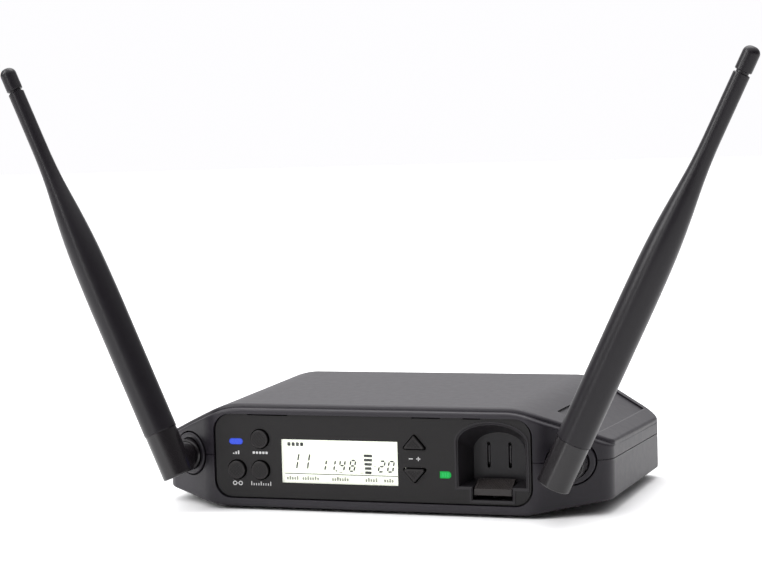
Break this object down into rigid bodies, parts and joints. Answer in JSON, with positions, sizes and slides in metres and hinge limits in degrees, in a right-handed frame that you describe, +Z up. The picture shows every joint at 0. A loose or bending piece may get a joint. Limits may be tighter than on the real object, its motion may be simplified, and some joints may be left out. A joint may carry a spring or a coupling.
{
  "type": "wireless microphone receiver",
  "caption": "Low desktop wireless audio receiver with angled front corners, swinging antennas, display, push buttons and a battery charging bay.",
  "frame": {"origin": "centre of the flat underside of the case, 1.2 mm above the desk the feet stand on", "axes": "+X to the right as seen from the front, +Y to the back, +Z up; the display looks along -Y"},
  "size_m": [0.2874, 0.1217, 0.1694],
  "materials": {
    "case": "fine satin texture",
    "panel": "smooth matte",
    "bay_plastic": "fine satin texture",
    "key_plastic": "satin",
    "barrel_plastic": "semi-gloss",
    "antenna_plastic": "fine grain",
    "window": "clear",
    "display": "pale reflective display",
    "blue_lens": "translucent, lit",
    "green_lens": "translucent, lit",
    "led": "clear epoxy",
    "white_plastic": "matte",
    "switch_plastic": "matte",
    "component_black": "matte",
    "connector_plastic": "satin",
    "circuit_board": "solder mask",
    "screw_steel": "blackened",
    "spring_steel": "bright",
    "tin_plate": "tinned",
    "nickel": "nickel plated",
    "contact_metal": "plated",
    "brass": "drawn",
    "ribbon": "film",
    "cable": "sheath",
    "rubber": "matte"
  },
  "bodies": {
    "case": {"bottom_case": "case", "top_cover": "case", "front_panel": "panel", "lcd_window": "window", "lcd_module": "display", "lcd_frame": "white_plastic", "rf_lens": "blue_lens", "battery_lens": "green_lens", "indicator_leds": "led", "button_switches": "switch_plastic", "control_board": "circuit_board", "panel_screws": "screw_steel", "charging_bay": "bay_plastic", "bay_contacts": "contact_metal", "contact_board": "circuit_board", "main_board": "circuit_board", "board_screws": "screw_steel", "rf_shield": "tin_plate", "board_components": "component_black", "ribbon_cable": "ribbon", "board_sockets": "switch_plastic", "xlr_shell": "connector_plastic", "xlr_insert": "connector_plastic", "xlr_pins": "contact_metal", "xlr_screws": "screw_steel", "jack_body": "connector_plastic", "jack_nut": "nickel", "level_pot": "connector_plastic", "usb_port": "tin_plate", "dc_jack": "connector_plastic", "dc_pin": "contact_metal", "rubber_feet": "rubber", "case_screws": "screw_steel", "latch_spring": "spring_steel", "left_socket_collar": "case", "right_socket_collar": "case", "left_coax_lead": "cable", "right_coax_lead": "cable"},
    "left_antenna": {"left_antenna_elbow": "barrel_plastic", "left_antenna_sleeve": "antenna_plastic", "left_antenna_tip": "antenna_plastic", "left_antenna_radiator": "brass", "left_antenna_feed": "cable", "left_friction_washer": "spring_steel", "left_shaft_clip": "spring_steel"},
    "right_antenna": {"right_antenna_elbow": "barrel_plastic", "right_antenna_sleeve": "antenna_plastic", "right_antenna_tip": "antenna_plastic", "right_antenna_radiator": "brass", "right_antenna_feed": "cable", "right_friction_washer": "spring_steel", "right_shaft_clip": "spring_steel"},
    "latch": {"bay_latch": "bay_plastic"},
    "level_control": {"level_knob": "key_plastic"},
    "group_key": {"group_button": "key_plastic"},
    "link_key": {"link_button": "key_plastic"},
    "channel_key": {"channel_button": "key_plastic"},
    "gain_up_key": {"gain_up_button": "key_plastic"},
    "gain_down_key": {"gain_down_button": "key_plastic"}
  },
  "joints": [
    {"name": "left_antenna_swing", "type": "hinge", "parent": "case", "child": "left_antenna", "pos_m": [-0.0747, -0.0614, 0.0187], "axis": [0, 1, 0], "range_deg": [-66.7, 43.3]},
    {"name": "right_antenna_swing", "type": "hinge", "parent": "case", "child": "right_antenna", "pos_m": [0.0747, -0.0614, 0.0187], "axis": [0, 1, 0], "range_deg": [-45.5, 64.5]},
    {"name": "latch_press", "type": "slide", "parent": "case", "child": "latch", "axis": [0, 0, -1], "range_m": [0, 0.0014], "stiffness_N_per_m": 300, "springref_m": -0.002, "deforming": ["latch_spring"]},
    {"name": "level_turn", "type": "hinge", "parent": "case", "child": "level_control", "pos_m": [0.002, 0.0475, 0.0144], "axis": [0, 1, 0], "range_deg": [-140, 140]},
    {"name": "group_press", "type": "slide", "parent": "case", "child": "group_key", "axis": [0, 1, 0], "range_m": [0, 0.0006], "stiffness_N_per_m": 300, "springref_m": -0.001},
    {"name": "link_press", "type": "slide", "parent": "case", "child": "link_key", "axis": [0, 1, 0], "range_m": [0, 0.0006], "stiffness_N_per_m": 300, "springref_m": -0.001},
    {"name": "channel_press", "type": "slide", "parent": "case", "child": "channel_key", "axis": [0, 1, 0], "range_m": [0, 0.0006], "stiffness_N_per_m": 300, "springref_m": -0.001},
    {"name": "gain_up_press", "type": "slide", "parent": "case", "child": "gain_up_key", "axis": [0, 1, 0], "range_m": [0, 0.0006], "stiffness_N_per_m": 300, "springref_m": -0.001},
    {"name": "gain_down_press", "type": "slide", "parent": "case", "child": "gain_down_key", "axis": [0, 1, 0], "range_m": [0, 0.0006], "stiffness_N_per_m": 300, "springref_m": -0.001}
  ]
}
